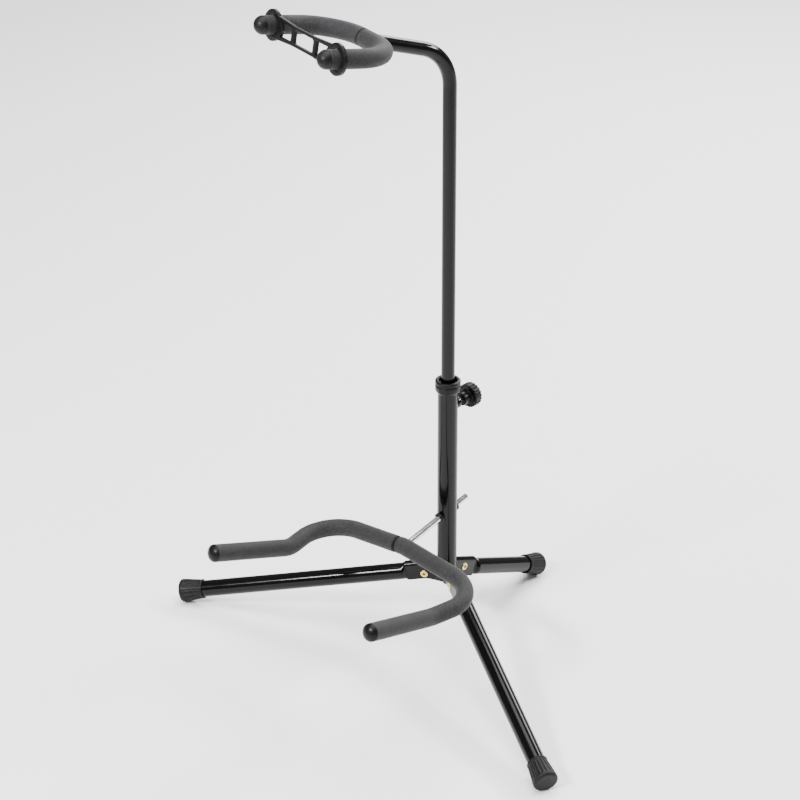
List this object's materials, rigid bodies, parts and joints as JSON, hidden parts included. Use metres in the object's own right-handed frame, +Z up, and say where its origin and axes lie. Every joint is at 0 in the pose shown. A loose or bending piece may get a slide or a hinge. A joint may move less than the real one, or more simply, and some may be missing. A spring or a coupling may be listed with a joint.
{
  "type": "guitar stand",
  "caption": "Folding tubular tripod guitar stand with a foam-covered cradle for the body, a foam yoke with a rubber strap for the neck, and a clamped height slide.",
  "frame": {"origin": "on the floor, under the middle of the stand's own box", "axes": "+Z up, -Y to the front, where the cradle's arms and the neck yoke point, and +X to the right of someone who faces the front"},
  "size_m": [0.6378, 0.4869, 0.8627],
  "materials": {
    "black_coat": "satin black powder coat",
    "brass": "bright",
    "zinc_steel": "zinc plated",
    "chrome": "polished",
    "foot_rubber": "matte",
    "cap_rubber": "satin",
    "strap_rubber": "satin",
    "black_plastic": "satin",
    "natural_nylon": "matte",
    "foam": "closed-cell foam sleeve, matte"
  },
  "bodies": {
    "base": {"lower_tube": "black_coat", "hub_bracket": "black_coat", "rivet_left": "brass", "rivet_right": "brass", "rivet_rear": "brass", "rivet_spacers": "zinc_steel", "height_collar": "black_plastic", "clamp_boss": "black_coat"},
    "front_left_leg": {"leg_left": "black_coat", "foot_left": "foot_rubber"},
    "front_right_leg": {"leg_right": "black_coat", "foot_right": "foot_rubber"},
    "rear_leg": {"leg_rear": "black_coat", "foot_rear": "foot_rubber"},
    "pad": {"clamp_pad": "natural_nylon"},
    "knob": {"clamp_knob": "black_plastic", "clamp_screw": "zinc_steel"},
    "slider": {"guide_bush": "natural_nylon"},
    "head": {"upper_tube": "black_coat", "yoke_rod": "black_coat", "yoke_foam_left": "foam", "yoke_foam_right": "foam", "yoke_cap_left": "cap_rubber", "yoke_cap_right": "cap_rubber"},
    "strap": {"neck_strap": "strap_rubber"},
    "stem_grip": {"front_grommet": "black_plastic", "rear_grommet": "black_plastic"},
    "cradle": {"cradle_stem": "chrome", "cradle_rod": "black_coat", "cradle_foam_left": "foam", "cradle_foam_right": "foam", "cradle_cap_left": "black_plastic", "cradle_cap_right": "black_plastic"}
  },
  "joints": [
    {"name": "left_leg_fold", "type": "hinge", "parent": "base", "child": "front_left_leg", "pos_m": [-0.02468, 0.03659, 0.0875], "axis": [0.5, -0.866, 0], "range_deg": [0, 77]},
    {"name": "right_leg_fold", "type": "hinge", "parent": "base", "child": "front_right_leg", "pos_m": [0.02468, 0.03659, 0.0875], "axis": [0.5, 0.866, 0], "range_deg": [0, 77]},
    {"name": "rear_leg_fold", "type": "hinge", "parent": "base", "child": "rear_leg", "pos_m": [0, 0.07934, 0.0875], "axis": [-1, 0, 0], "range_deg": [0, 66]},
    {"name": "height_slide", "type": "slide", "parent": "base", "child": "slider", "axis": [0, 0, 1], "range_m": [-0.098, 0.012]},
    {"name": "head_swivel", "type": "hinge", "parent": "slider", "child": "head", "pos_m": [0, 0.05084, 0.333], "axis": [0, 0, 1], "continuous": true},
    {"name": "strap_slide", "type": "slide", "parent": "head", "child": "strap", "axis": [-0.2549, -0.9513, 0.1736], "range_m": [-0.008, 0.04]},
    {"name": "clamp_travel", "type": "slide", "parent": "base", "child": "pad", "axis": [0, 1, 0], "range_m": [0, 0.0025]},
    {"name": "clamp_turn", "type": "hinge", "parent": "pad", "child": "knob", "pos_m": [0, 0.05084, 0.333], "axis": [0, 1, 0], "range_deg": [0, 721]},
    {"name": "cradle_turn", "type": "hinge", "parent": "base", "child": "stem_grip", "pos_m": [0, 0.05084, 0.181], "axis": [0, -0.9854, -0.1702], "range_deg": [-90, 90]},
    {"name": "cradle_reach", "type": "slide", "parent": "stem_grip", "child": "cradle", "axis": [0, -0.9854, -0.1702], "range_m": [-0.02, 0.018]}
  ],
  "couplings": [
    {"joint": "clamp_turn", "follows": "clamp_travel", "rad_per_m": 5026.5}
  ]
}
